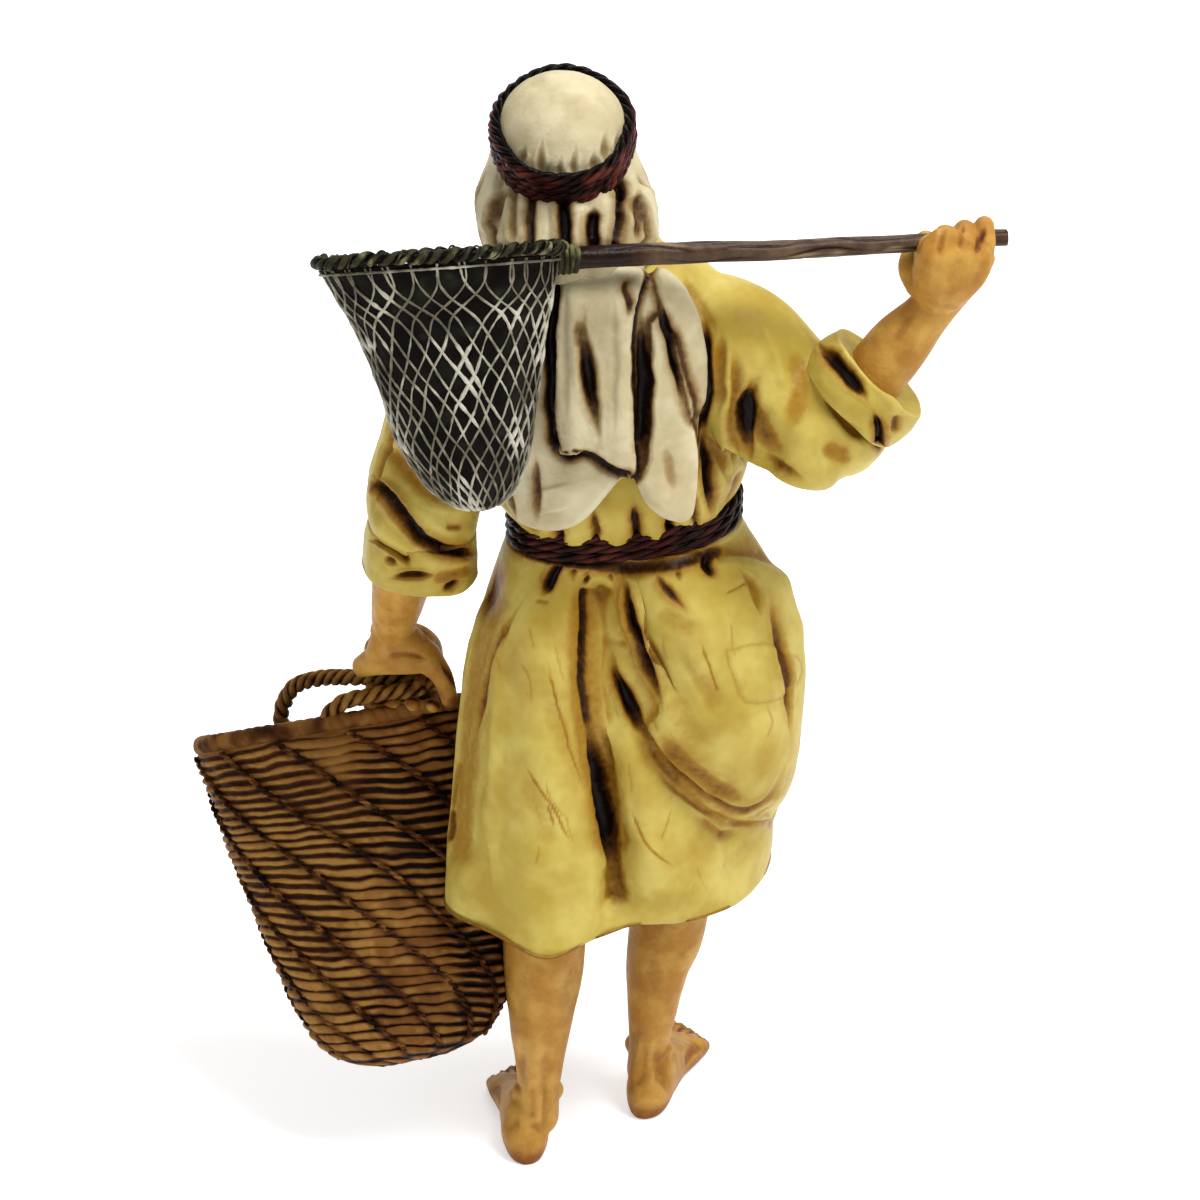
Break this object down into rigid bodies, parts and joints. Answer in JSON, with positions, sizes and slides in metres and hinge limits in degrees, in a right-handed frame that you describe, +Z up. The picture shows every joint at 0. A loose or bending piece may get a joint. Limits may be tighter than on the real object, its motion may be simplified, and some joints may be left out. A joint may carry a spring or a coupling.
{
  "type": "nativity figurine",
  "caption": "Hand-painted nativity figurine of a walking barefoot fisherman with a landing net on a pole and a wicker basket.",
  "frame": {"origin": "on the ground plane of the bare soles, under the middle of the figure's bounding box", "axes": "+Z up through the figure; the figure walks and faces towards +Y, so its back is on the -Y side and its left hand, with the basket, on the -X side"},
  "size_m": [0.0684, 0.0326, 0.0985],
  "materials": {
    "tunic_paint": "satin lacquer over hand-painted ochre with a dark wash in the folds",
    "scarf_paint": "satin lacquer over hand-painted ivory with a dark wash in the folds",
    "cord_paint": "satin lacquer over burgundy brown",
    "skin_paint": "satin lacquer over warm tan",
    "wicker_paint": "satin lacquer over brown with dry-brushed light edges",
    "wood_paint": "satin lacquer over near-black brown",
    "net_paint": "satin lacquer over near-black with pale dry-brushed mesh"
  },
  "bodies": {
    "root": {"tunic_upper": "tunic_paint", "tunic_skirt": "tunic_paint", "right_sleeve": "tunic_paint", "right_cuff": "tunic_paint", "left_sleeve": "tunic_paint", "left_cuff": "tunic_paint", "waist_sash": "cord_paint", "head_cord": "cord_paint", "left_leg": "skin_paint", "right_leg": "skin_paint", "head": "skin_paint", "right_forearm": "skin_paint", "left_forearm": "skin_paint", "headscarf_crown": "scarf_paint", "headscarf_drape": "scarf_paint", "net_pole": "wood_paint", "net_hoop": "wood_paint", "net_bag": "net_paint", "basket_body": "wicker_paint", "basket_rim": "wicker_paint", "basket_handle_near": "wicker_paint", "basket_handle_far": "wicker_paint"}
  },
  "joints": []
}
